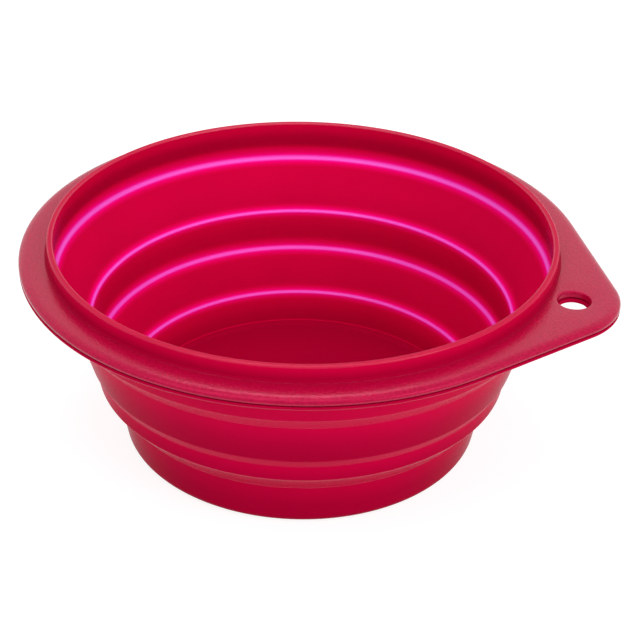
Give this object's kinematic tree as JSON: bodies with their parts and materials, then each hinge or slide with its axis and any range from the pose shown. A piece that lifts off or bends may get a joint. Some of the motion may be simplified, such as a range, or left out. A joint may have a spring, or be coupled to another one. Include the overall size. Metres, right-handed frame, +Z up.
{
  "type": "silicone travel bowl",
  "caption": "Round collapsible silicone bowl with stepped folding walls, a lip inside a flat stiff rim and a hang tab with a hole; presses flat for travel.",
  "frame": {"origin": "centre of the base's flat underside, which stands on the table", "axes": "+X towards the hang tab on the rim, +Z up along the bowl's axis to the lip"},
  "size_m": [0.1499, 0.14, 0.0563],
  "materials": {
    "silicone": "smooth satin crimson silicone",
    "grained_rim": "matte crimson with a fine moulded grain"
  },
  "bodies": {
    "base": {"base_cup": "silicone", "lower_fold_web": "silicone"},
    "middle": {"middle_band": "silicone", "upper_fold_web": "silicone"},
    "rim": {"silicone_collar": "silicone", "rim_frame": "grained_rim"}
  },
  "joints": [
    {"name": "lower_fold", "type": "slide", "parent": "base", "child": "middle", "axis": [0, 0, -1], "range_m": [0, 0.0203], "deforming": ["lower_fold_web"]},
    {"name": "upper_fold", "type": "slide", "parent": "middle", "child": "rim", "axis": [0, 0, -1], "range_m": [0, 0.0232], "deforming": ["upper_fold_web"]}
  ]
}
